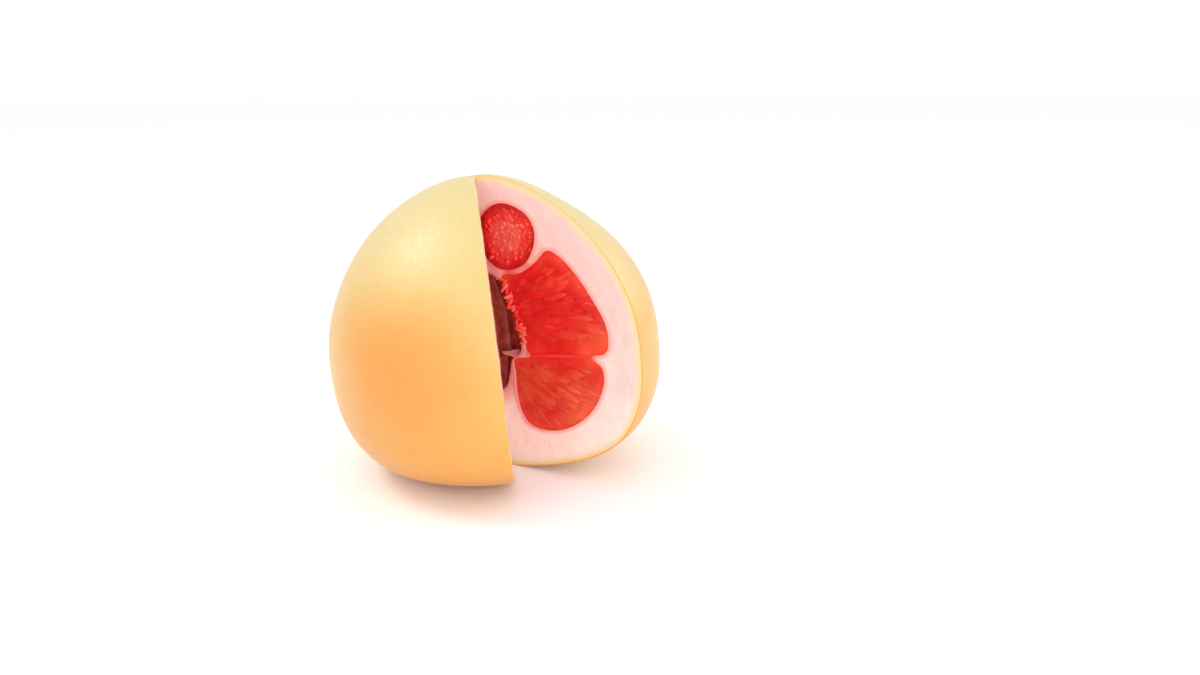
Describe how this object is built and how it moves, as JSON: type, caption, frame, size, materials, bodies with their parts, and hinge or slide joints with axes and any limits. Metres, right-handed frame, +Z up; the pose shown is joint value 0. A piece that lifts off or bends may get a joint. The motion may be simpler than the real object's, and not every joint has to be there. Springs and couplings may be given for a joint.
{
  "type": "pomelo",
  "caption": "Large round yellow citrus fruit with a wedge cut out, showing thick pink pith, red juicy segments and a hollow core, resting on its base.",
  "frame": {"origin": "on the surface that the fruit rests on, under the middle of its box", "axes": "+Z up through the fruit; the cut opens towards -Y and +X; +X to the right as seen facing the left cut edge"},
  "size_m": [0.1598, 0.1602, 0.1441],
  "materials": {
    "rind": "waxy yellow peel with fine pores",
    "pith": "soft pale pink pith, matt",
    "pulp": "wet red flesh of juice sacs",
    "cork": "dry corky scar"
  },
  "bodies": {
    "root": {"rind": "rind", "pith_right": "pith", "pith_left": "pith", "stem_scar": "cork", "segment_upper": "pulp", "segment_right_main": "pulp", "segment_right_lower": "pulp", "segment_left_main": "pulp", "segment_whole_1": "pulp", "segment_whole_2": "pulp", "segment_whole_3": "pulp", "segment_whole_4": "pulp", "segment_whole_5": "pulp", "segment_whole_6": "pulp", "segment_whole_7": "pulp", "segment_whole_8": "pulp"}
  },
  "joints": []
}
